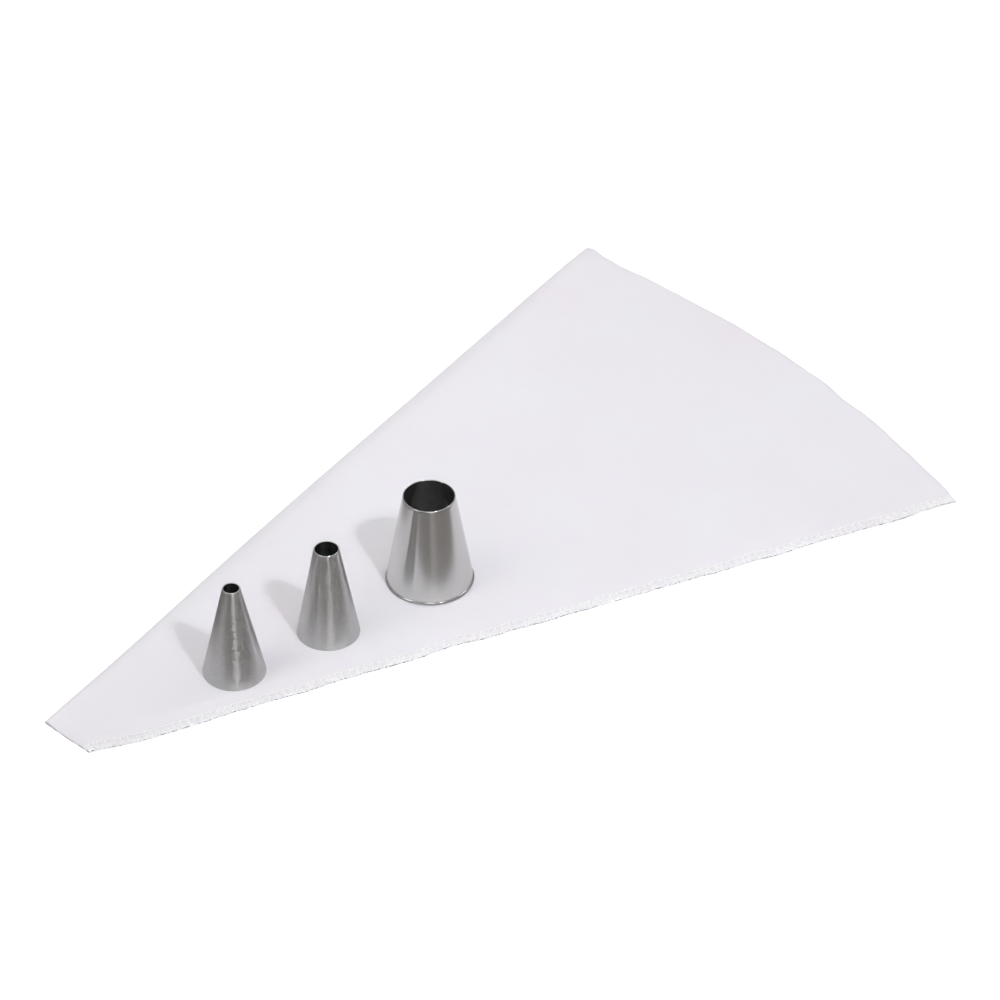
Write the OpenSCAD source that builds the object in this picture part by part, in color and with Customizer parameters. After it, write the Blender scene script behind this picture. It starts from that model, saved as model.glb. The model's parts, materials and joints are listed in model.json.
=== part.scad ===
// A cloth piping bag that lies flat, with its three plain round nozzles standing on it.
// Millimetres. The origin is on the table, under the middle of the whole object.
// +X runs along the bag from its cut tip to its mouth, and +Z is up.
// The folded long side is towards +Y, and the overlocked seam is along the -Y side.
// The bag is one piece of cloth. It is split here into its two layers and the round fold
// between them, so that the inside stays open, and once across, where the mouth end folds over.

/* [Bag] */
// Length of each long side, from the tip to the mouth
side_length = 400; // [340:10:500]
// Angle between each long side and the bag's middle line, in degrees
half_angle = 15.7; // [13:0.1:18]
// Width across the cut tip, lying flat
tip_width = 27; // [22:1:40]
// How far the mouth's curved edge stands out past its corners
mouth_rise = 15.2; // [10:0.1:20]
// Thickness of one layer of cloth
cloth_t = 0.5; // [0.4:0.05:0.8]
// Gap between the two layers, away from the seam
layer_gap = 1; // [0.8:0.1:2]

/* [Overlocked seam] */
// Width that the looper threads cover, from the seam's outer edge
seam_width = 4.2; // [3:0.1:6]
// Thickness of the sewing threads
thread_t = 0.3; // [0.2:0.05:0.4]
// Width of the slope from the pinched seam up to the open layers
seam_slope = 7; // [4:1:12]

/* [Mouth fold] */
// Distance from the tip to the line where the mouth end folds over
fold_at = 320; // [300:5:330]
// Width of the cut between the two halves of the cloth at that line
fold_slit = 0.3; // [0.2:0.1:0.5]

/* [Nozzles] */
// Height of every nozzle
nozzle_height = 44; // [38:1:50]
// Thickness of the steel sheet
sheet_t = 0.5; // [0.4:0.05:0.7]
// Outside diameter of the small and the medium nozzle's base
base_d = 26.5; // [24:0.5:30]
// Outside diameter of the large nozzle's base, over its rolled bead
large_base_d = 37.7; // [34:0.1:42]
// Outside diameter of the small nozzle's outlet
small_outlet_d = 7.5; // [6:0.5:9]
// Outside diameter of the medium nozzle's outlet
medium_outlet_d = 10.7; // [9.5:0.1:13]
// Outside diameter of the large nozzle's outlet
large_outlet_d = 22.2; // [18:0.1:26]
// Radius of the bead rolled round the large nozzle's base
bead_r = 0.6; // [0.5:0.1:1.2]

/* [Where the nozzles stand] */
// Distance of the small nozzle from the tip
small_at = 77; // [70:1:80]
// Distance of the medium nozzle from the tip
medium_at = 122.8; // [118:0.1:126]
// Distance of the large nozzle from the tip
large_at = 177.6; // [170:0.1:185]
// Offset of the small nozzle from the middle line, towards the seam
small_offset = 10.9; // [0:0.1:12]
// Offset of the medium and the large nozzle from the middle line, towards the seam
large_offset = 15.8; // [0:0.1:20]

/* [Hidden] */
$fn = 128;

corner_distance = side_length * cos(half_angle);
total_length = corner_distance + mouth_rise;
tip_x = -total_length / 2;
mouth_half = tip_width / 2 + side_length * sin(half_angle);
mouth_arc_r = (pow(mouth_half, 2) + pow(mouth_rise, 2)) / (2 * mouth_rise);
fold_x = tip_x + fold_at;

// Heights of the layers, pinched together in the seam and apart elsewhere
seam_z = thread_t;
open_z = 0;
upper_seam_z = seam_z + cloth_t;
upper_open_z = cloth_t + layer_gap;
bag_top = upper_open_z + cloth_t;
side_fold_r = bag_top / 2;

// A cut that reaches past everything it trims
past = 30;
reach = 300;

// A hair's breadth between a nozzle and the cloth, so that the two only meet
rest_gap = 0.05;

// Carries a profile along the seam's side: its x is the distance inwards from the
// side's outer edge, and its y is the height above the table
module along_side() {
    translate([tip_x, -tip_width / 2, 0])
        rotate([0, 0, -half_angle])
            rotate([90, 0, 90])
                translate([0, 0, -past])
                    linear_extrude(side_length + 2 * past)
                        children();
}

// The bag's length from its straight-cut tip to the fold line
module tip_end() {
    translate([tip_x, -reach / 2])
        square([fold_at - fold_slit / 2, reach]);
}

// The rest of its length, out to the curved edge of the mouth
module mouth_end() {
    intersection() {
        translate([fold_x + fold_slit / 2, -reach / 2])
            square([reach, reach]);
        translate([total_length / 2 - mouth_arc_r, 0])
            circle(r = mouth_arc_r, $fn = 720);
    }
}

// What lies inside the straight line where the round side fold begins
module inside_fold() {
    translate([tip_x, tip_width / 2])
        rotate(half_angle)
            translate([-past, -reach - side_fold_r])
                square([side_length + 2 * past, reach]);
}

// Keeps the part of a long piece that lies over the given length of the bag
module trimmed_to(at_mouth) {
    intersection() {
        children(0);
        linear_extrude(bag_top + 1)
            if (at_mouth) mouth_end(); else tip_end();
    }
}

// One layer of cloth, flat, and sloping to its height in the seam
module layer(at_seam, away, at_mouth) {
    slope_end = seam_width + seam_slope;
    lower_line = [[thread_t, at_seam], [seam_width, at_seam], [slope_end, away], [reach, away]];
    upper_line = [for (i = [3:-1:0]) lower_line[i] + [0, cloth_t]];
    trimmed_to(at_mouth)
        intersection() {
            along_side() polygon(concat(lower_line, upper_line));
            linear_extrude(bag_top + 1) inside_fold();
        }
}

// The round fold that joins the two layers along the other long side
module fold_strip(at_mouth) {
    trimmed_to(at_mouth)
        mirror([0, 1, 0])
            along_side()
                intersection() {
                    translate([side_fold_r, side_fold_r])
                        difference() {
                            circle(r = side_fold_r);
                            circle(r = side_fold_r - cloth_t);
                        }
                    translate([-1, -1])
                        square([side_fold_r + 1, bag_top + 2]);
                }
}

// The needle's thread, a straight row of stitches just inside the looper threads
module needle_row(at_mouth) {
    trimmed_to(at_mouth)
        along_side()
            translate([seam_width - thread_t, upper_seam_z + cloth_t])
                square([thread_t, thread_t]);
}

// A looper's thread, which lies on one face of the seam and turns round its edge
module looper_band(face_z, edge_z, width, at_mouth) {
    trimmed_to(at_mouth)
        along_side() {
            translate([0, face_z]) square([width, thread_t]);
            translate([0, edge_z]) square([thread_t, cloth_t + thread_t]);
        }
}

module upper_layer() {
    color("whitesmoke") layer(upper_seam_z, upper_open_z, false);
}

module lower_layer() {
    color("whitesmoke") layer(seam_z, open_z, false);
}

module side_fold() {
    color("whitesmoke") fold_strip(false);
}

module needle_thread() {
    color("white") needle_row(false);
}

module upper_looper_thread() {
    color("white") looper_band(upper_seam_z + cloth_t, upper_seam_z, seam_width - thread_t, false);
}

module lower_looper_thread() {
    color("white") looper_band(0, 0, seam_width, false);
}

module upper_layer_mouth_end() {
    color("whitesmoke") layer(upper_seam_z, upper_open_z, true);
}

module lower_layer_mouth_end() {
    color("whitesmoke") layer(seam_z, open_z, true);
}

module side_fold_mouth_end() {
    color("whitesmoke") fold_strip(true);
}

module needle_thread_mouth_end() {
    color("white") needle_row(true);
}

module upper_looper_thread_mouth_end() {
    color("white") looper_band(upper_seam_z + cloth_t, upper_seam_z, seam_width - thread_t, true);
}

module lower_looper_thread_mouth_end() {
    color("white") looper_band(0, 0, seam_width, true);
}

// A cone of sheet steel, open at both ends, with or without a bead round its base
module nozzle(at, offset, foot_d, outlet_d, foot_bead_r = 0) {
    wall_r = (foot_d - foot_bead_r) / 2;
    outlet_r = outlet_d / 2;
    color("silver")
        translate([tip_x + at, -offset, bag_top + rest_gap])
            rotate_extrude() {
                polygon([
                    [wall_r - sheet_t, foot_bead_r], [wall_r, foot_bead_r],
                    [outlet_r, nozzle_height], [outlet_r - sheet_t, nozzle_height]
                ]);
                if (foot_bead_r > 0)
                    translate([foot_d / 2 - foot_bead_r, foot_bead_r])
                        circle(r = foot_bead_r, $fn = 48);
            }
}

module small_nozzle() {
    nozzle(small_at, small_offset, base_d, small_outlet_d);
}

module medium_nozzle() {
    nozzle(medium_at, large_offset, base_d, medium_outlet_d);
}

module large_nozzle() {
    nozzle(large_at, large_offset, large_base_d, large_outlet_d, bead_r);
}

upper_layer();
lower_layer();
side_fold();
needle_thread();
upper_looper_thread();
lower_looper_thread();
upper_layer_mouth_end();
lower_layer_mouth_end();
side_fold_mouth_end();
needle_thread_mouth_end();
upper_looper_thread_mouth_end();
lower_looper_thread_mouth_end();
small_nozzle();
medium_nozzle();
large_nozzle();
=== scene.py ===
"""A cloth piping bag that lies flat, with its overlocked seam and its three steel nozzles.

Lengths are in millimetres until new_piece() makes a mesh of them, and lights are in metres.
The bag's folded side is towards +Y, its seam is along the -Y side, and its mouth is at +X.
"""

import json
import math

import bpy
import numpy as np
from mathutils import Matrix, Vector


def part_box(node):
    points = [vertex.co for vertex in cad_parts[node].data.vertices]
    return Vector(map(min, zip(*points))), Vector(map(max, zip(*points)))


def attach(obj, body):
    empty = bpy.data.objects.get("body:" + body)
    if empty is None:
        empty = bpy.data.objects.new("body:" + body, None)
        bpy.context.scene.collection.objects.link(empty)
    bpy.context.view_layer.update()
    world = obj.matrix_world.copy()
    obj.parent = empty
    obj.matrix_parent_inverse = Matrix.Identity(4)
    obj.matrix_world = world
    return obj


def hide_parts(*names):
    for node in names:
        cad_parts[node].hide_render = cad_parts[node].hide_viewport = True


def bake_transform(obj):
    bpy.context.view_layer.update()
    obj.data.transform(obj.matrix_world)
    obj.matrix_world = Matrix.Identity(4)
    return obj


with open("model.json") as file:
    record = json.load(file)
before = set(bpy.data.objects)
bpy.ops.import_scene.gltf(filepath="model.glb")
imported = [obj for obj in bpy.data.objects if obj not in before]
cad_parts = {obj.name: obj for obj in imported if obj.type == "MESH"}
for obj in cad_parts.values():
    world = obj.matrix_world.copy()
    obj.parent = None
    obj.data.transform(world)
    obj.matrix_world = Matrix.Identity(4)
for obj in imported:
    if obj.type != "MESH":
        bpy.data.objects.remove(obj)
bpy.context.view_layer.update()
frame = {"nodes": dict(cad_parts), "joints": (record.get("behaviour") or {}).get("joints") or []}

MM = 0.001


# ---------------------------------------------------------------- the bag's outline, from the frame

def box_mm(node):
    """The lowest and highest corner of a CAD node, in millimetres."""
    low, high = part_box(node)
    return low / MM, high / MM


strip_low, strip_high = box_mm("side_fold")
strip_r = (strip_high.z - strip_low.z) / 2
strip_run = strip_high.x - strip_low.x
strip_rise = strip_high.y - strip_low.y

# The side's angle is the one at which a strip of this width just fills its box
SIDE_ANGLE = (math.acos(strip_r / math.hypot(strip_run, strip_rise))
              - math.atan2(strip_run, strip_rise))
SIDE_SLOPE = math.tan(SIDE_ANGLE)
SIDE_COS = math.cos(SIDE_ANGLE)
SIDE_SIN = math.sin(SIDE_ANGLE)

TIP_X = strip_low.x
TIP_HALF = strip_low.y + strip_r / SIDE_COS
MOUTH_HALF = box_mm("side_fold_mouth_end")[1].y
CORNER_X = TIP_X + (MOUTH_HALF - TIP_HALF) / SIDE_SLOPE
CROWN_X = box_mm("upper_layer_mouth_end")[1].x
MOUTH_RISE = CROWN_X - CORNER_X
MOUTH_R = (MOUTH_HALF ** 2 + MOUTH_RISE ** 2) / (2 * MOUTH_RISE)
SIDE_LENGTH = (CORNER_X - TIP_X) / SIDE_COS

HINGE = next(j for j in frame["joints"] if j["name"] == "mouth_fold")
FOLD_X = HINGE["pos_m"][0] / MM

OPEN_TOP = box_mm("upper_layer")[1].z
NEEDLE_LOW, NEEDLE_HIGH = (corner.z for corner in box_mm("needle_thread"))
THREAD_T = NEEDLE_HIGH - NEEDLE_LOW
SEAM_TOP = NEEDLE_LOW
SEAM_BOTTOM = THREAD_T
CLOTH_T = (SEAM_TOP - SEAM_BOTTOM) / 2
SEAM_WIDTH = 4.2        # how far in the seam's threads reach from its edge
SEAM_SLOPE = 7.0        # how wide the slope is from there up to the open layers

NOZZLES = ("small_nozzle", "medium_nozzle", "large_nozzle")


def half_width(x):
    """From the bag's middle line to its side, at a place along its length."""
    return TIP_HALF + (x - TIP_X) * SIDE_SLOPE


def from_fold(x, y):
    """Distance inwards from the folded side."""
    return (half_width(x) - y) * SIDE_COS


def from_seam(x, y):
    """Distance inwards from the seam's side."""
    return (half_width(x) + y) * SIDE_COS


def from_mouth(x, y):
    """Distance inwards from the mouth's curved edge."""
    return MOUTH_R - np.hypot(x - (CROWN_X - MOUTH_R), y)


def along_seam(x, y):
    """Distance along the seam's side from the tip."""
    return (x - TIP_X) * SIDE_COS - (y + TIP_HALF) * SIDE_SIN


def along_fold(x, y):
    """Distance along the folded side from the tip."""
    return (x - TIP_X) * SIDE_COS + (y - TIP_HALF) * SIDE_SIN


def mouth_x(share):
    """Where a line that keeps its share of the half width meets the mouth's edge."""
    x = np.full_like(share, CORNER_X)
    for _ in range(5):
        y = share * half_width(x)
        x = CROWN_X - MOUTH_R + np.sqrt(MOUTH_R ** 2 - y ** 2)
    return x


# ---------------------------------------------------------------- small helpers for shapes

def smooth(share):
    """0 to 1 with no corner at either end."""
    share = np.clip(share, 0, 1)
    return share * share * (3 - 2 * share)


def near(distance, reach):
    """1 at no distance, fading softly to about a third at reach and to 0 at twice reach."""
    return np.exp(-(distance / reach) ** 2)


def waver(place, seed, shortest, longest, count=9):
    """Soft random waves along a line, about 1 high, the same on each run."""
    random = np.random.default_rng(seed)
    total = np.zeros_like(place)
    for _ in range(count):
        length = random.uniform(shortest, longest)
        total += np.sin(2 * math.pi * (place / length + random.uniform()))
    return total / math.sqrt(count / 2)


def ripples(x, y, seed, shortest, longest, count=14):
    """Soft random waves over the plane, about 1 high, the same on each run."""
    random = np.random.default_rng(seed)
    total = np.zeros_like(x)
    for _ in range(count):
        length = random.uniform(shortest, longest)
        turn = random.uniform(0, 2 * math.pi)
        place = (x * math.cos(turn) + y * math.sin(turn)) / length
        total += np.sin(2 * math.pi * (place + random.uniform()))
    return total / math.sqrt(count / 2)


def new_piece(name, vertices, faces, material, origin=(0, 0, 0)):
    """A smooth-shaded mesh object from vertices in millimetres."""
    mesh = bpy.data.meshes.new(name)
    mesh.from_pydata((np.asarray(vertices, float) * MM).tolist(), [], faces)
    mesh.shade_smooth()
    mesh.materials.append(material)
    piece = bpy.data.objects.new(name, mesh)
    piece.location = Vector(origin) * MM
    bpy.context.scene.collection.objects.link(piece)
    return piece


# ---------------------------------------------------------------- how the cloth lies

RIDGE_HEIGHT = 2.2      # how far the cloth stands up just inside the folded side
RIDGE_AT = 10.5         # how far inside the folded side it stands highest
RIDGE_SLOPE = 24.0      # how wide the slope is from there down to the flat cloth
RIDGE_START = 0.40      # the ridge's size near the tip, as a share of its full size
RIDGE_END = 0.55        # its size at the mouth
RIDGE_FULL_AT = 0.45    # share of the bag's length at which it reaches its full size
RIDGE_FALLS_AT = 0.72   # share of the length from which it grows lower again
TIP_RIDGE_LOSS = 0.55   # share of its size that the ridge loses at the tip
TIP_LOSS = 0.30         # share of its height that the bag loses at the tip, which is pressed flat
RIPPLE_HEIGHT = 0.16
MOUTH_PARTING = 0.3     # how far the upper layer stands up along the mouth
MOUTH_CURL = 0.65       # how far the mouth's cut edge curls down
NOZZLE_PRESS = 9.0      # how far round a nozzle the cloth is pressed flat

# The angle at which the upper layer leaves the round of the fold
FOLD_LEAN = math.atan(2 * RIDGE_HEIGHT / RIDGE_AT)

# The faint troughs in the upper layer: depth, width, and where each starts, turns and ends
TROUGHS = (
    (0.50, 8, (61, -8), (56, -38), (40, -72)),
    (0.30, 6, (133, -86), (146, -80), (160, -70)),
    (0.26, 5, (82, -78), (88, -72), (97, -69)),
    (0.30, 7, (197, 30), (184, 28), (172, 24)),
)


def ridge_size(x):
    """The fold ridge's size at a place along the bag, smaller towards both ends."""
    along = (x - TIP_X) / (CORNER_X - TIP_X)
    growing = RIDGE_START + (1 - RIDGE_START) * smooth(along / RIDGE_FULL_AT)
    falling = 1 - (1 - RIDGE_END) * smooth((along - RIDGE_FALLS_AT) / (1 - RIDGE_FALLS_AT))
    return growing * falling * (1 - TIP_RIDGE_LOSS * near(x - TIP_X, 16))


def open_top(x):
    """Height of the upper face where the layers lie apart, less at the tip."""
    return OPEN_TOP * (1 - TIP_LOSS * near(x - TIP_X, 14))


def fold_radius(x):
    """Radius of the round of the folded side."""
    return open_top(x) / (1 + math.cos(FOLD_LEAN))


def fold_ridge(x, y):
    """Height of the low ridge inside the folded side."""
    size = ridge_size(x)
    place = np.maximum(from_fold(x, y), 0) / size
    rising = 1 - (1 - np.minimum(place / RIDGE_AT, 1)) ** 2
    falling = 1 - smooth((place - RIDGE_AT) / RIDGE_SLOPE)
    return RIDGE_HEIGHT * size * rising * falling


def clear_of_nozzles(x, y):
    """0 under the nozzles and 1 well away from them."""
    clear = np.ones_like(x)
    for node in NOZZLES:
        low, high = box_mm(node)
        middle, radius = (low + high) / 2, (high.x - low.x) / 2
        gap = np.hypot(x - middle.x, y - middle.y) - radius - 1
        clear = clear * smooth(gap / NOZZLE_PRESS)
    return clear


def trough(x, y, width, start, middle, end):
    """1 along the bottom of a curved trough through three points, fading to its sides."""
    nearest = np.full_like(x, np.inf)
    for t in np.linspace(0, 1, 24):
        a, b, c = (1 - t) * (1 - 2 * t), 4 * t * (1 - t), t * (2 * t - 1)
        px = a * start[0] + b * middle[0] + c * end[0]
        py = a * start[1] + b * middle[1] + c * end[1]
        nearest = np.minimum(nearest, np.hypot(x - px, y - py))
    return near(nearest, width)


def creases(x, y):
    """Depth of the upper layer's troughs."""
    return sum(depth * trough(x, y, width, *places) for depth, width, *places in TROUGHS)


def pinch(x, y):
    """1 where the seam holds the layers together, and 0 past the slope beside it."""
    return 1 - smooth((from_seam(x, y) - SEAM_WIDTH) / SEAM_SLOPE)


def upper_height(x, y):
    """Height of the upper layer's upper face."""
    top = open_top(x)
    height = top + (SEAM_TOP - top) * pinch(x, y)
    height = height + fold_ridge(x, y)
    loose = clear_of_nozzles(x, y) * (1 - pinch(x, y))
    soft = RIPPLE_HEIGHT * ripples(x, y, 5, 38, 130) - creases(x, y)
    inward = smooth(from_fold(x, y) / 12)
    parted = MOUTH_PARTING * near(from_mouth(x, y), 12) * (1 + 0.6 * waver(y, 3, 40, 90))
    curl = MOUTH_CURL * near(from_mouth(x, y), 0.9) * (1 - pinch(x, y))
    return height + loose * inward * (soft + parted) - curl


def lower_height(x, y):
    """Height of the lower layer's lower face."""
    return SEAM_BOTTOM * pinch(x, y)


# Where an edge strays outwards from its line: how far, where along the edge, and over what reach
SEAM_STRAYS = (
    (0.9, 20, 15), (1.5, 35, 24), (0.45, 75, 30), (-0.9, 166, 13),
    (0.5, 302, 16), (-0.4, 335, 12), (0.4, 356, 10), (-0.7, 393, 4))
MOUTH_STRAYS = ((1.2, -114, 7), (0.4, -76, 9), (-0.35, MOUTH_HALF - 19, 10))

SEAM_INSET = 0.6        # how far inside its line the seam's edge lies otherwise
MOUTH_INSET = 0.35      # how far inside its arc the mouth's edge lies otherwise
MOUTH_PULL = 3.3        # how far the mouth is drawn out at the corner of the fold
FOLD_BULGE = 3.0        # how far the folded edge stands out along the bag's middle
FOLD_BULGE_LESS = 2.2   # how much less it stands out at the tip
TIP_SLANT = 0.085       # slope of the tip's cut edge
PUCKER_HEIGHT = 0.16    # mean height of the seam's puckers off the table

# How the mouth's corners stand up: side, height and reach
CORNER_LIFTS = ((1, 0.8, 28), (-1, 0.6, 22))


def strayed(place, strays):
    """How far a line strays outwards at a place along it."""
    return sum(out * near(place - middle, reach) for out, middle, reach in strays)


def seam_drift(along):
    """How far the seam's edge strays outwards from a straight line."""
    return strayed(along, SEAM_STRAYS) - SEAM_INSET


def fold_bulge(along):
    """How far the folded edge stands out from a straight line, less towards both ends."""
    bulge = FOLD_BULGE - FOLD_BULGE_LESS * (1 - smooth((along - 20) / 140))
    return bulge + 0.3 * near(along - 200, 40) - 0.8 * smooth((along - 350) / 60)


def mouth_drift(y):
    """How far the mouth's edge stands out from a true arc, most at the pulled corner of the fold."""
    pull = MOUTH_PULL * smooth(1 - (MOUTH_HALF - y) / 11)
    waves = 0.35 * waver(y, 21, 14, 45) + 0.12 * waver(y, 22, 6, 12)
    return pull + strayed(y, MOUTH_STRAYS) - MOUTH_INSET + waves


def settle(points):
    """Moves points of the flat bag to where soft cloth lies: edges waver and corners stand up."""
    x, y, z = (points[..., i].copy() for i in range(3))
    mouth, seam = from_mouth(x, y), from_seam(x, y)
    along = along_seam(x, y)
    clear = clear_of_nozzles(x, y)

    waves = 0.15 * waver(along, 11, 22, 60) + 0.10 * waver(along, 12, 5, 12)
    sideways = clear * (waves * near(seam, 16) + seam_drift(along) * near(seam, 24))
    bulge = fold_bulge(along_fold(x, y)) * near(from_fold(x, y), 40)
    slant = -TIP_SLANT * y * near(x - TIP_X, 30)
    points[..., 0] = x - SIDE_SIN * (sideways + bulge) + mouth_drift(y) * near(mouth, 12) + slant
    points[..., 1] = y - SIDE_COS * (sideways - bulge)

    lift = sum(height * near(np.hypot(x - CORNER_X, y - side * MOUTH_HALF), reach)
               for side, height, reach in CORNER_LIFTS)
    puckers = PUCKER_HEIGHT * (1 + waver(along, 31, 14, 40)) * near(seam, 8) * clear
    points[..., 2] = z + lift + np.maximum(puckers, 0)
    return points


# ---------------------------------------------------------------- the bag's cloth

ROW_STEP = 3.0
FOLD_ROWS = 15          # close rows where the mouth end folds over
FOLD_BAND = 3.0         # how far they reach to each side of the fold line
MOUTH_ROWS = (1.2, 0.6, 0)      # distances of the last rows from the mouth's edge
LAYER_COLUMNS = 96
CROWDING = 0.65         # how strongly the columns crowd towards the seam and the fold
ROUND_COLUMNS = 8       # across the round of the folded side
SHARP_EDGE = 50         # degrees past which an edge of the cloth is drawn sharp


def layer_shares():
    """Places across a layer from -1 at the seam to 1 at the fold, closer together at both."""
    line = np.linspace(-1, 1, LAYER_COLUMNS)
    return (1 - CROWDING) * line + CROWDING * np.sin(line * math.pi / 2)


def row_places():
    """x of the straight rows, and then the shares of the way from there to the mouth."""
    before = FOLD_X - FOLD_BAND
    straight = np.arange(TIP_X, before, ROW_STEP)
    close = np.linspace(before, FOLD_X + FOLD_BAND, FOLD_ROWS)
    run = CORNER_X - FOLD_X
    curved = np.linspace(0, 1, round(run / ROW_STEP) + 1)[1:-1]
    curved = np.concatenate([curved, 1 - np.array(MOUTH_ROWS) / run])
    return np.concatenate([straight, close]), curved


def across(x, share, seam_edge, fold_edge):
    """y at a share of a layer that runs from its edge in the seam to the fold's round."""
    low, high = -(half_width(x) - seam_edge), half_width(x) - fold_edge
    return low + (high - low) * (share + 1) / 2


def column_x(share):
    """x down one column of the mesh, from the tip to the mouth."""
    straight, curved = row_places()
    last = straight[-1]
    return np.concatenate([straight, last + (mouth_x(np.array([share]))[0] - last) * curved])


def bag_surface():
    """Outer face of the cloth, as rows from tip to mouth of columns from seam to fold and back."""
    columns = []
    shares = layer_shares()
    for share in shares:
        x = column_x(share)
        y = across(x, share, THREAD_T, strip_r)
        columns.append(np.stack([x, y, lower_height(x, y)], -1))
    x = column_x(1.0)
    radius = fold_radius(x)
    for k in range(1, ROUND_COLUMNS):
        angle = -math.pi / 2 + (math.pi - FOLD_LEAN) * k / ROUND_COLUMNS
        y = half_width(x) - radius + radius * math.cos(angle)
        columns.append(np.stack([x, y, radius + radius * math.sin(angle)], -1))
    for share in shares[::-1]:
        x = column_x(share)
        start = fold_radius(x) * (1 - math.sin(FOLD_LEAN))
        y = across(x, share, THREAD_T, start)
        height = upper_height(x, y + start * smooth((share - 0.9) / 0.1))
        columns.append(np.stack([x, y, height], -1))
    return settle(np.stack(columns, 1))


def grid_faces(rows, columns):
    """Faces of a grid of vertices, turned so that they face outwards from the bag."""
    return [(r * columns + c, r * columns + c + 1, (r + 1) * columns + c + 1, (r + 1) * columns + c)
            for r in range(rows - 1) for c in range(columns - 1)]


def mark_flat_cloth(mesh):
    """Stores each point's place on the cloth, for its weave, and how far in from the seam it is."""
    points = np.array([v.co for v in mesh.vertices]) / MM
    x, y = points[:, 0], points[:, 1]
    flat = np.stack([along_fold(x, y), from_fold(x, y), points[:, 2]], -1)
    mesh.attributes.new("flat_cloth", "FLOAT_VECTOR", "POINT")
    mesh.attributes["flat_cloth"].data.foreach_set("vector", flat.ravel())
    inward = from_seam(x, y) + seam_drift(along_seam(x, y))
    mesh.attributes.new("from_seam", "FLOAT", "POINT")
    mesh.attributes["from_seam"].data.foreach_set("value", inward)


def bag_cloth(material, edge_shade):
    """One piece of cloth, folded along one side, with painted shade on its lower layer's cut edge."""
    surface = bag_surface()
    rows, columns = surface.shape[:2]
    cloth = new_piece("bag_cloth", surface.reshape(-1, 3), grid_faces(rows, columns), material)
    skin = cloth.modifiers.new("thickness", "SOLIDIFY")
    skin.thickness = CLOTH_T * MM
    skin.offset = -1
    skin.use_even_offset = True
    # the cut edges take the second material, which carries painted shade
    skin.material_offset_rim = 1
    cloth.data.materials.append(edge_shade)
    graph = bpy.context.evaluated_depsgraph_get()
    thick = bpy.data.meshes.new_from_object(cloth.evaluated_get(graph))
    cloth.modifiers.clear()
    cloth.data = thick
    thick.name = "bag_cloth"
    thick.set_sharp_from_angle(angle=math.radians(SHARP_EDGE))
    # painted shade stays only on the lower layer's cut edges, along the seam and at the tip
    for face in thick.polygons:
        first = min(face.vertices)
        at_mouth = first >= (rows - 1) * columns
        on_upper_layer = first % columns > LAYER_COLUMNS + ROUND_COLUMNS / 2
        if at_mouth or on_upper_layer:
            face.material_index = 0
    mark_flat_cloth(thick)
    return cloth


# ---------------------------------------------------------------- the overlocked seam

STITCH = 3.3
THREAD_R = 0.24
THREAD_SIDES = 6
PLY_PITCH = 2.2         # length in which the thread's two plies turn once round
PLY_DEPTH = 0.16        # depth of the groove between the plies, as a share of the radius
LOOPER_STEPS = 36       # rings on a looper's thread in one stitch
NEEDLE_STEPS = 14
LOOP_LEAN = 0.45        # how far a loop leans along the seam
LOOP_ROUND = 0.30       # how far its sides bow
LOOSE_ALONG = 0.30      # how unevenly the loops lie along the seam
LOOSE_INWARD = 0.30     # how unevenly they reach in from its edge
LOOSE_AT_EDGE = 0.18    # how unevenly they turn round its edge
KNOT_RINGS = 90
KNOT_TURNS = 4.5
KNOT_R = 0.85


def seam_points(along, inward, height):
    """Points given by distance along the seam, distance in from its edge, and height."""
    x = TIP_X + along * SIDE_COS + inward * SIDE_SIN
    y = -TIP_HALF - along * SIDE_SIN + inward * SIDE_COS
    return settle(np.stack([x, y, height], -1))


def thread_tube(path):
    """(vertices, faces) of a two-ply thread along a path."""
    tangent = np.gradient(path, axis=0)
    tangent /= np.linalg.norm(tangent, axis=1, keepdims=True)
    length = np.concatenate([[0], np.cumsum(np.linalg.norm(np.diff(path, axis=0), axis=1))])
    side = np.cross(tangent[0], (0, 0, 1.0))
    side /= np.linalg.norm(side)
    vertices = []
    turns = np.arange(THREAD_SIDES) * 2 * math.pi / THREAD_SIDES
    for point, forward, distance in zip(path, tangent, length):
        side = side - forward * (side @ forward)
        side /= np.linalg.norm(side)
        other = np.cross(forward, side)
        twist = 2 * math.pi * distance / PLY_PITCH
        radius = THREAD_R * (1 - PLY_DEPTH + PLY_DEPTH * np.cos(2 * (turns - twist)))
        ring = point + radius[:, None] * (np.outer(np.cos(turns), side) + np.outer(np.sin(turns), other))
        vertices.append(ring)
    count = len(path)
    faces = []
    for r in range(count - 1):
        for c in range(THREAD_SIDES):
            d = (c + 1) % THREAD_SIDES
            a, b = r * THREAD_SIDES, (r + 1) * THREAD_SIDES
            faces.append((a + c, a + d, b + d, b + c))
    faces.append(tuple(range(THREAD_SIDES))[::-1])
    faces.append(tuple((count - 1) * THREAD_SIDES + c for c in range(THREAD_SIDES)))
    return np.concatenate(vertices), faces


def stitch_count():
    """The whole stitches that fit along the side."""
    return int(SIDE_LENGTH / STITCH)


def uneven(seed, amount):
    """One random value for each end of a stitch."""
    return np.random.default_rng(seed).normal(0, amount, stitch_count() + 1)


def between(values, share):
    """Values at each stitch, carried smoothly between stitches."""
    index = np.clip(share.astype(int), 0, len(values) - 2)
    t = smooth(share - index)
    return values[index] * (1 - t) + values[index + 1] * t


def needle_path():
    """The needle's thread: a row of straight stitches that dip through the cloth."""
    share = np.linspace(0, stitch_count(), stitch_count() * NEEDLE_STEPS + 1)
    within = share - np.floor(share)
    arch = np.sqrt(np.maximum(np.sin(math.pi * within), 0))
    along = 0.6 + share * STITCH
    inward = SEAM_WIDTH - THREAD_T / 2 + between(uneven(41, 0.06), share)
    height = SEAM_TOP - 1.2 * THREAD_R + 2.3 * THREAD_R * arch
    return seam_points(along, inward, height)


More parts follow.
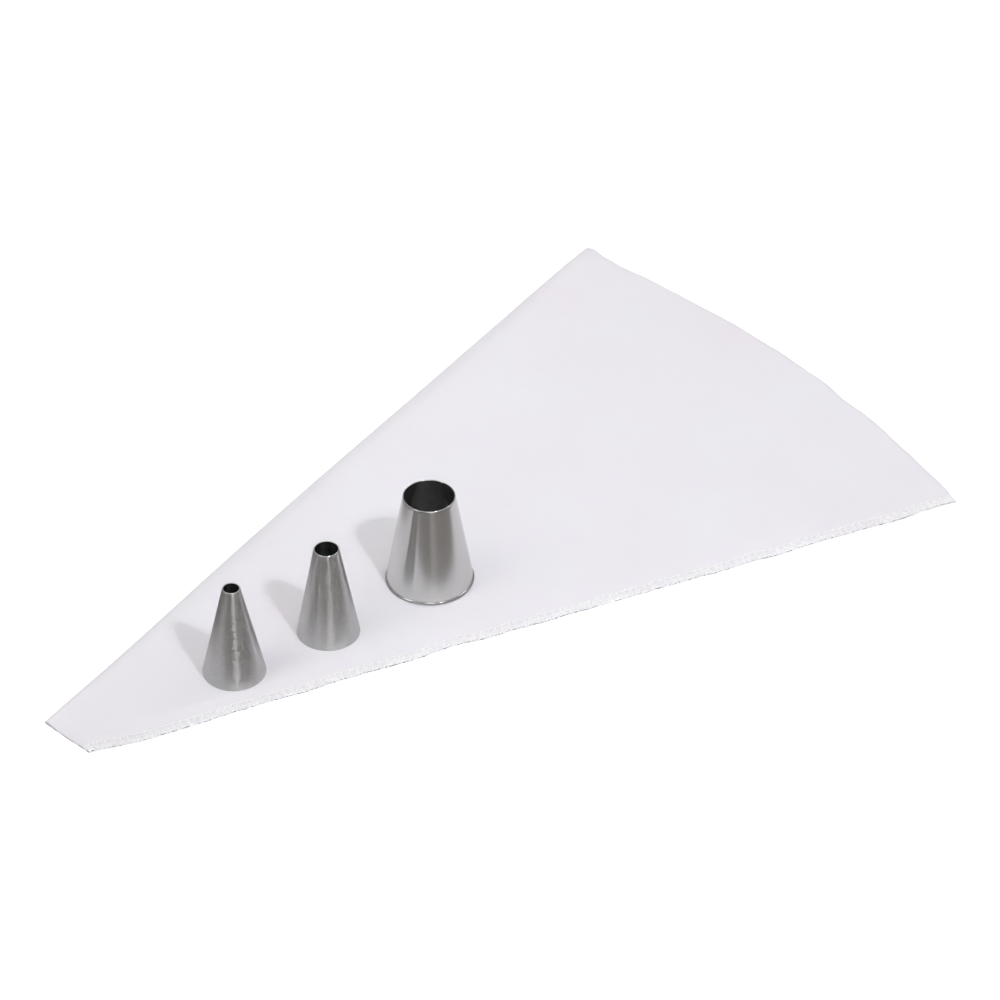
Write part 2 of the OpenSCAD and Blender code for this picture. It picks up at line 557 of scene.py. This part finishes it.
def looper_path(face, seed, shift):
    """A looper's thread: over one face of the seam to the needle's row, and back to its edge."""
    share = np.linspace(0, stitch_count() - 1, (stitch_count() - 1) * LOOPER_STEPS + 1)
    wave = (1 - np.cos(2 * math.pi * share)) / 2
    along = 0.8 + (share + shift) * STITCH + between(uneven(seed, LOOSE_ALONG), share)
    along += LOOP_ROUND * np.sin(4 * math.pi * share) - LOOP_LEAN * np.sin(2 * math.pi * share)
    edge = 0.15 + between(uneven(seed + 1, LOOSE_AT_EDGE), share)
    inner = SEAM_WIDTH - 0.1 + between(uneven(seed + 2, LOOSE_INWARD), share)
    inward = edge + (inner - edge) * wave
    middle = (SEAM_TOP + SEAM_BOTTOM) / 2
    on_face = SEAM_TOP + THREAD_R if face > 0 else THREAD_R
    height = middle + (on_face - middle) * smooth((inward - edge) / 0.9)
    under_needle = smooth((inward - inner + 0.5) / 0.5)
    height = height - face * 0.5 * THREAD_R * under_needle
    return seam_points(along, inward, height)


def knot_path(end, outward, seed):
    """The little knot that ends a seam: a few tight turns of thread round its corner."""
    t = np.linspace(0, 1, KNOT_RINGS)
    turn = 2 * math.pi * KNOT_TURNS * t
    sizes = np.random.default_rng(seed).uniform(0.8, 1.4, 6)
    swell = np.interp(t, np.linspace(0, 1, len(sizes)), sizes)
    along = end + outward * (0.9 * t + 0.35 * np.sin(turn * 0.8))
    inward = 1.6 + 1.5 * swell * np.cos(turn * 0.62 + seed)
    height = (SEAM_TOP + SEAM_BOTTOM) / 2 + KNOT_R * swell * np.sin(turn)
    return seam_points(along, inward, np.maximum(height, THREAD_R))


def thread_piece(name, paths, material):
    """One thread of the seam as a mesh, from one or more paths."""
    vertices, faces, first = [], [], 0
    for path in paths:
        points, quads = thread_tube(path)
        faces += [tuple(first + i for i in quad) for quad in quads]
        vertices.append(points)
        first += len(points)
    return new_piece(name, np.concatenate(vertices), faces, material)


def seam_threads(material):
    """The needle's thread and the two loopers' threads, with the CAD nodes each stands for."""
    needle = thread_piece("needle_stitches", [needle_path()], material)
    upper = thread_piece("upper_looper_stitches",
                         [looper_path(1, 51, 0.0), knot_path(0.6, -1, 2)], material)
    lower = thread_piece("lower_looper_stitches",
                         [looper_path(-1, 61, 0.5), knot_path(SIDE_LENGTH - 0.8, 1, 5)], material)
    return {"needle_thread": needle, "upper_looper_thread": upper, "lower_looper_thread": lower}


# ---------------------------------------------------------------- the steel nozzles

BEAD_R = 0.6            # radius of the bead rolled round the large nozzle's base
NECK_HEIGHT = 3.4       # height below which its wall draws in to the bead's inner side
CURL_END = 430          # angle in degrees, round the bead, at which the sheet ends
WALL_STEPS = 24
BEADED_WALL_STEPS = 40
CURL_STEPS = 26
LATHE_STEPS = 160
CAP_STEPS = 6           # round the sheet's edge


def top_radii(node):
    """(outer, inner) radius of a nozzle's outlet, from its CAD mesh."""
    low, high = box_mm(node)
    middle = (low + high) / 2
    points = np.array([v.co for v in frame["nodes"][node].data.vertices]) / MM
    ring = points[points[:, 2] > high.z - 0.01]
    radii = np.hypot(ring[:, 0] - middle.x, ring[:, 1] - middle.y)
    return radii.max(), radii.min()


def wall_line(node):
    """The middle line of the sheet steel, as (radius, height) from its outlet to its foot."""
    low, high = box_mm(node)
    foot_r, height = (high.x - low.x) / 2, high.z - low.z
    outer, inner = top_radii(node)
    sheet = outer - inner
    top = (outer - sheet / 2, height - sheet / 2)
    if node != "large_nozzle":
        foot = (foot_r - sheet / 2, sheet / 2)
        return np.linspace(top, foot, WALL_STEPS), sheet
    wall_foot = foot_r - BEAD_R / 2 - sheet / 2
    curl_r = BEAD_R - sheet / 2
    centre = (foot_r - BEAD_R, BEAD_R)
    slope = (wall_foot - top[0]) / (top[1] - BEAD_R)
    heights = np.linspace(top[1], BEAD_R, BEADED_WALL_STEPS)
    radii = top[0] + slope * (top[1] - heights)
    neck = smooth((NECK_HEIGHT - heights) / (NECK_HEIGHT - BEAD_R))
    radii = radii + (centre[0] - curl_r - radii) * neck
    turns = np.linspace(math.pi, math.radians(CURL_END), CURL_STEPS)[1:]
    curl = np.stack([centre[0] + curl_r * np.cos(turns), centre[1] + curl_r * np.sin(turns)], -1)
    return np.concatenate([np.stack([radii, heights], -1), curl]), sheet


def sheet_profile(line, sheet):
    """The closed outline of sheet steel that follows a middle line, with round edges."""
    tangent = np.gradient(line, axis=0)
    tangent /= np.linalg.norm(tangent, axis=1, keepdims=True)
    normal = np.stack([-tangent[:, 1], tangent[:, 0]], -1)
    half = sheet / 2
    caps = []
    for end, sign in ((-1, 1), (0, -1)):
        turns = np.linspace(0, math.pi, CAP_STEPS + 1)[1:-1, None]
        caps.append(line[end] + half * sign * (np.cos(turns) * normal[end] + np.sin(turns) * tangent[end]))
    return np.concatenate([line + half * normal, caps[0], (line - half * normal)[::-1], caps[1]])


def nozzle(node, material, inside):
    """A nozzle of thin sheet steel, turned round its own axis, to its CAD node's size."""
    low, high = box_mm(node)
    origin = ((low.x + high.x) / 2, (low.y + high.y) / 2, low.z)
    profile = sheet_profile(*wall_line(node))
    angles = np.arange(LATHE_STEPS) * 2 * math.pi / LATHE_STEPS
    radius, height = profile[:, 0], profile[:, 1]
    vertices = np.stack([
        np.outer(np.cos(angles), radius), np.outer(np.sin(angles), radius),
        np.tile(height, (LATHE_STEPS, 1))], -1).reshape(-1, 3)
    count = len(profile)
    faces = []
    for a in range(LATHE_STEPS):
        b = (a + 1) % LATHE_STEPS
        for k in range(count):
            m = (k + 1) % count
            faces.append((a * count + k, a * count + m, b * count + m, b * count + k))
    piece = new_piece(node + "_steel", vertices, faces, material, origin)
    # the second material, for the inner wall, is the steel painted darker for the shade inside the nozzle
    piece.data.materials.append(inside)
    wall = len(wall_line(node)[0])
    inner_wall = range(wall + CAP_STEPS - 1, 2 * wall + CAP_STEPS - 2)
    for face in piece.data.polygons:
        face.material_index = 1 if face.index % count in inner_wall else 0
    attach(piece, node)
    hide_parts(node)
    return piece


# ---------------------------------------------------------------- materials

WEAVE_PITCH = 0.42
FLUFF_FADE = 2.2        # width over which the fluff thins out towards the seam's inner edge


def add_node(tree, kind, inputs=None, **settings):
    """A shader node. Each input is a value, or a socket that is linked to it."""
    node = tree.nodes.new(kind)
    for name, value in settings.items():
        setattr(node, name, value)
    for name, value in (inputs or {}).items():
        if isinstance(value, bpy.types.NodeSocket):
            tree.links.new(value, node.inputs[name])
        else:
            node.inputs[name].default_value = value
    return node


def new_material(name, **values):
    """(material, node tree, Principled shader), with the shader's own values set."""
    material = bpy.data.materials.new(name)
    material.use_nodes = True
    tree = material.node_tree
    shader = tree.nodes["Principled BSDF"]
    for socket, value in values.items():
        shader.inputs[socket.replace("_", " ")].default_value = value
    return material, tree, shader


def math_node(tree, operation, first, second=None):
    """The result of a Math node."""
    inputs = {0: first} if second is None else {0: first, 1: second}
    return add_node(tree, "ShaderNodeMath", inputs, operation=operation).outputs[0]


def noise(tree, place, scale, detail):
    """The result of a Noise Texture node."""
    inputs = {"Vector": place, "Scale": scale, "Detail": detail}
    return add_node(tree, "ShaderNodeTexNoise", inputs).outputs["Fac"]


def remap(tree, value, start, end, to_start, to_end):
    """A value carried from one range over to another."""
    inputs = {"Value": value, "From Min": start, "From Max": end, "To Min": to_start, "To Max": to_end}
    return add_node(tree, "ShaderNodeMapRange", inputs).outputs["Result"]


def ramp(tree, value, *stops):
    """A colour between two stops, each of them a position and a colour."""
    node = add_node(tree, "ShaderNodeValToRGB", {"Fac": value})
    for element, (position, colour) in zip(node.color_ramp.elements, stops):
        element.position = position
        element.color = (*colour, 1)
    return node.outputs["Color"]


def stretched(tree, place, scale):
    """A place with each of its axes scaled."""
    return add_node(tree, "ShaderNodeMapping", {"Vector": place, "Scale": scale}).outputs["Vector"]


def add_bump(tree, shader, height, strength, distance):
    """Gives the shader a bumped surface."""
    inputs = {"Height": height, "Strength": strength, "Distance": distance}
    bump = add_node(tree, "ShaderNodeBump", inputs)
    tree.links.new(bump.outputs["Normal"], shader.inputs["Normal"])


def attribute(tree, name, output):
    """A mesh attribute, stored by mark_flat_cloth()."""
    return add_node(tree, "ShaderNodeAttribute", attribute_name=name).outputs[output]


def weave_height(tree, flat, pitch):
    """A plain weave's height, from the place on the flat cloth in millimetres."""
    parts = add_node(tree, "ShaderNodeSeparateXYZ", {0: flat})
    waves = [math_node(tree, "SINE", math_node(tree, "MULTIPLY", parts.outputs[axis], math.pi / pitch))
             for axis in ("X", "Y")]
    over = math_node(tree, "MULTIPLY", waves[0], waves[1])
    gaps = math_node(tree, "MULTIPLY", math_node(tree, "ABSOLUTE", waves[0]),
                     math_node(tree, "ABSOLUTE", waves[1]))
    return math_node(tree, "ADD", over, gaps)


def cloth_material():
    """Closely woven white cotton with a light proofing, and white fluff along the seam."""
    material, tree, shader = new_material(
        "bag_cotton", Roughness=0.72, Specular_IOR_Level=0.25, Sheen_Weight=0.12, Sheen_Roughness=0.5)
    flat = attribute(tree, "flat_cloth", "Vector")
    slubs = math_node(tree, "MULTIPLY", noise(tree, flat, 0.9, 4.0), 1.2)
    height = math_node(tree, "ADD", weave_height(tree, flat, WEAVE_PITCH), slubs)
    add_bump(tree, shader, height, 0.5, 0.00004)
    cotton = ramp(tree, noise(tree, flat, 0.018, 3.0),
                  (0.35, (0.800, 0.772, 0.812)), (0.65, (0.800, 0.796, 0.826)))
    inward = attribute(tree, "from_seam", "Fac")
    in_seam = remap(tree, inward, SEAM_WIDTH - FLUFF_FADE, SEAM_WIDTH, 1.0, 0.0)
    tufts = remap(tree, noise(tree, flat, 1.1, 2.0), 0.46, 0.56, 0.0, 1.0)
    fluffy = add_node(tree, "ShaderNodeMix",
                      {0: math_node(tree, "MULTIPLY", in_seam, tufts)}, data_type="RGBA")
    fluffy.inputs["B"].default_value = (0.91, 0.91, 0.91, 1)
    tree.links.new(cotton, fluffy.inputs["A"])
    tree.links.new(fluffy.outputs["Result"], shader.inputs["Base Color"])
    return material


def painted_shade_edge_material():
    """The lower layer's cut edge, with painted shade: dark grey, broken by paler patches along it."""
    material, tree, shader = new_material("cut_cloth_edge_painted_shade", Roughness=0.9, Specular_IOR_Level=0.1)
    # painted shade: noise breaks the dark grey line with stretches near the cloth's own colour
    shade_breaks = noise(tree, attribute(tree, "flat_cloth", "Vector"), 0.35, 3.0)
    tint = ramp(tree, shade_breaks, (0.45, (0.22, 0.22, 0.22)), (0.60, (0.78, 0.78, 0.79)))
    tree.links.new(tint, shader.inputs["Base Color"])
    return material


def thread_material():
    """White spun thread, brighter than the cloth."""
    material, tree, shader = new_material(
        "seam_thread", Roughness=0.6, Specular_IOR_Level=0.4, Sheen_Weight=0.4, Sheen_Roughness=0.4)
    place = add_node(tree, "ShaderNodeTexCoord").outputs["Object"]
    fibres = noise(tree, place, 6000.0, 3.0)
    add_bump(tree, shader, fibres, 0.4, 0.00005)
    tint = ramp(tree, fibres, (0.0, (0.89, 0.89, 0.90)), (1.0, (0.97, 0.97, 0.97)))
    tree.links.new(tint, shader.inputs["Base Color"])
    return material


def steel_material(name, colour, roughness, spread, anisotropic, groove, streak, slant):
    """Turned sheet steel, whose fine marks round its axis draw its highlights out upwards.

    spread is how unevenly rough it is, groove is the depth of its marks in metres, streak is
    how much darker its dark strokes are, and slant is how far the strokes stray from level.
    """
    material, tree, shader = new_material(
        name, Metallic=1.0, Anisotropic=anisotropic, Anisotropic_Rotation=0.25)
    place = add_node(tree, "ShaderNodeTexCoord").outputs["Object"]
    marks = noise(tree, stretched(tree, place, (200.0, 200.0, 2200.0)), 1.0, 2.0)
    add_bump(tree, shader, marks, 0.6, groove)
    smears = noise(tree, place, 160.0, 4.0)
    rough = remap(tree, math_node(tree, "ADD", marks, smears), 0.6, 1.4,
                  roughness - spread, roughness + spread)
    tree.links.new(rough, shader.inputs["Roughness"])
    strokes = noise(tree, stretched(tree, place, (650.0, 650.0, 1100.0)), 1.0, 2.0)
    dark = tuple((1 - streak) * level for level in colour)
    tint = ramp(tree, strokes, (0.42, dark), (0.58, colour))
    tree.links.new(tint, shader.inputs["Base Color"])
    around = add_node(tree, "ShaderNodeTangent", direction_type="RADIAL", axis="Z")
    tilt = remap(tree, strokes, 0.3, 0.7, -slant, slant)
    upwards = add_node(tree, "ShaderNodeCombineXYZ", {"Z": tilt})
    tangent = add_node(tree, "ShaderNodeVectorMath",
                       {0: around.outputs["Tangent"], 1: upwards.outputs["Vector"]}, operation="ADD")
    tree.links.new(tangent.outputs["Vector"], shader.inputs["Tangent"])
    return material


# ---------------------------------------------------------------- the studio

CAMERA_TARGET = (35.16, 6.6, 1.1)
CAMERA_AZIMUTH = -40.19
CAMERA_ELEVATION = 38.20
CAMERA_ROLL = 0.11
CAMERA_DISTANCE = 2158
CAMERA_LENS = 180


def direction(azimuth, elevation):
    """From the object towards a light or camera. Azimuth 0 is the -Y side, and 90 is the +X side."""
    a, e = math.radians(azimuth), math.radians(elevation)
    return Vector((math.sin(a) * math.cos(e), -math.cos(a) * math.cos(e), math.sin(e)))


def aimed(towards, roll=0.0):
    """A rotation that looks along -towards."""
    turn = (-towards).to_track_quat("-Z", "Y").to_matrix().to_4x4()
    return turn @ Matrix.Rotation(math.radians(roll), 4, "Z")


def add_camera():
    data = bpy.data.cameras.new("camera")
    data.lens = CAMERA_LENS
    data.sensor_width = 36
    data.clip_start, data.clip_end = 0.05, 50
    camera = bpy.data.objects.new("camera", data)
    towards = direction(CAMERA_AZIMUTH, CAMERA_ELEVATION)
    place = (Vector(CAMERA_TARGET) + towards * CAMERA_DISTANCE) * MM
    camera.matrix_world = Matrix.Translation(place) @ aimed(towards, CAMERA_ROLL)
    bpy.context.scene.collection.objects.link(camera)
    bpy.context.scene.camera = camera


LIT_PLACE = (-60, 0, 0)
WHITE = (1.0, 1.0, 1.0)


def add_light(name, azimuth, elevation, distance, size, power, colour=WHITE, spread=180,
              aim=LIT_PLACE):
    """A studio light, placed from LIT_PLACE and turned towards its aim."""
    data = bpy.data.lights.new(name, "AREA")
    data.shape = "RECTANGLE"
    data.size, data.size_y = size
    data.energy = power
    data.color = colour
    data.spread = math.radians(spread)
    light = bpy.data.objects.new(name, data)
    place = Vector(LIT_PLACE) * MM + direction(azimuth, elevation) * distance
    light.matrix_world = Matrix.Translation(place) @ aimed(place - Vector(aim) * MM)
    bpy.context.scene.collection.objects.link(light)


def add_lights():
    """A small key light for the firm shadows, soft lights round the object, and two for details."""
    add_light("key_light", azimuth=-2.3, elevation=50.7, distance=1.32, size=(0.12, 0.12),
              power=0.44, colour=(0.98, 0.97, 1.0), spread=54, aim=(20, 50, 0))
    add_light("left_light", azimuth=-112, elevation=57, distance=4.0, size=(1.1, 1.1),
              power=22.5, colour=(1.0, 0.985, 0.95))
    add_light("right_light", azimuth=85, elevation=50, distance=1.2, size=(0.27, 0.27), power=1.1)
    add_light("front_light", azimuth=-36, elevation=62, distance=4.0, size=(0.8, 0.8), power=13.5)
    add_light("glint_light", azimuth=-27, elevation=6, distance=3.0, size=(0.9, 0.8), power=6.0)
    add_light("corner_light", azimuth=150, elevation=60, distance=1.2, size=(0.2, 0.2),
              power=0.005, spread=20, aim=(165, 100, 0))


def background(tree, colour, strength):
    """A Background shader of an even colour."""
    inputs = {"Color": (*colour, 1), "Strength": strength}
    return add_node(tree, "ShaderNodeBackground", inputs).outputs[0]


def add_world():
    """White behind the object, with a softer fill for its surfaces and a grey room in reflections."""
    world = bpy.data.worlds.new("studio")
    bpy.context.scene.world = world
    world.use_nodes = True
    tree = world.node_tree
    tree.nodes.clear()
    rays = add_node(tree, "ShaderNodeLightPath")
    fill = background(tree, (0.985, 0.98, 0.99), 0.59)
    towards = add_node(tree, "ShaderNodeTexCoord").outputs["Generated"]
    above = add_node(tree, "ShaderNodeSeparateXYZ", {0: towards}).outputs["Z"]
    sky = ramp(tree, above, (0.15, (0.05, 0.046, 0.042)), (0.75, (0.85, 0.85, 0.85)))
    room = add_node(tree, "ShaderNodeBackground", {"Color": sky}).outputs[0]
    white = background(tree, WHITE, 1.0)
    lit = add_node(tree, "ShaderNodeMixShader", {0: rays.outputs["Is Glossy Ray"], 1: fill, 2: room})
    seen = add_node(tree, "ShaderNodeMixShader",
                    {0: rays.outputs["Is Camera Ray"], 1: lit.outputs[0], 2: white})
    output = add_node(tree, "ShaderNodeOutputWorld")
    tree.links.new(seen.outputs[0], output.inputs["Surface"])


FLOOR_REACH = 8000
FLOOR_GLOW = 0.46       # what the floor adds to its own light, so that it shows white


def add_floor():
    """A plain white floor that shows white, and is a dark grey in reflections."""
    material, tree, shader = new_material("floor_white", Roughness=0.9, Specular_IOR_Level=0.0)
    rays = add_node(tree, "ShaderNodeLightPath")
    tint = add_node(tree, "ShaderNodeMix", {0: rays.outputs["Is Glossy Ray"]}, data_type="RGBA")
    tint.inputs["A"].default_value = (0.95, 0.95, 0.95, 1)
    tint.inputs["B"].default_value = (0.24, 0.225, 0.215, 1)
    tree.links.new(tint.outputs["Result"], shader.inputs["Base Color"])
    shader.inputs["Emission Color"].default_value = (1, 1, 1, 1)
    glow = math_node(tree, "MULTIPLY", rays.outputs["Is Camera Ray"], FLOOR_GLOW)
    tree.links.new(glow, shader.inputs["Emission Strength"])
    corners = [(x * FLOOR_REACH, y * FLOOR_REACH, 0) for x, y in ((-1, -1), (1, -1), (1, 1), (-1, 1))]
    floor = new_piece("floor", corners, [(0, 1, 2, 3)], material, (0, 0, -0.05))


# ---------------------------------------------------------------- the scene


def join_at_fold(piece, *nodes):
    """A piece that runs from the bag into its mouth end, and stands for these CAD nodes in both."""
    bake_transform(piece)
    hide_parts(*nodes, *(node + "_mouth_end" for node in nodes))


bpy.context.scene.view_settings.view_transform = "Standard"
add_camera()
add_world()
add_lights()
add_floor()

cloth = bag_cloth(cloth_material(), painted_shade_edge_material())
join_at_fold(cloth, "upper_layer", "lower_layer", "side_fold")

threads = seam_threads(thread_material())
for node_name, thread in threads.items():
    join_at_fold(thread, node_name)

satin = steel_material("turned_steel", colour=(0.60, 0.60, 0.595), roughness=0.30, spread=0.012,
                       anisotropic=0.95, groove=0.000006, streak=0.06, slant=0.60)
polished = steel_material("bright_steel", colour=(0.65, 0.65, 0.64), roughness=0.17, spread=0.012,
                          anisotropic=0.97, groove=0.000004, streak=0.03, slant=0.06)
# the same steel with a darker colour painted in for the shade inside the nozzles
inside = steel_material("steel_inside_painted_shade", colour=(0.38, 0.38, 0.38), roughness=0.25, spread=0.04,
                        anisotropic=0.92, groove=0.00001, streak=0.1, slant=0.05)
nozzle("small_nozzle", satin, inside)
nozzle("medium_nozzle", satin, inside)
nozzle("large_nozzle", polished, inside)
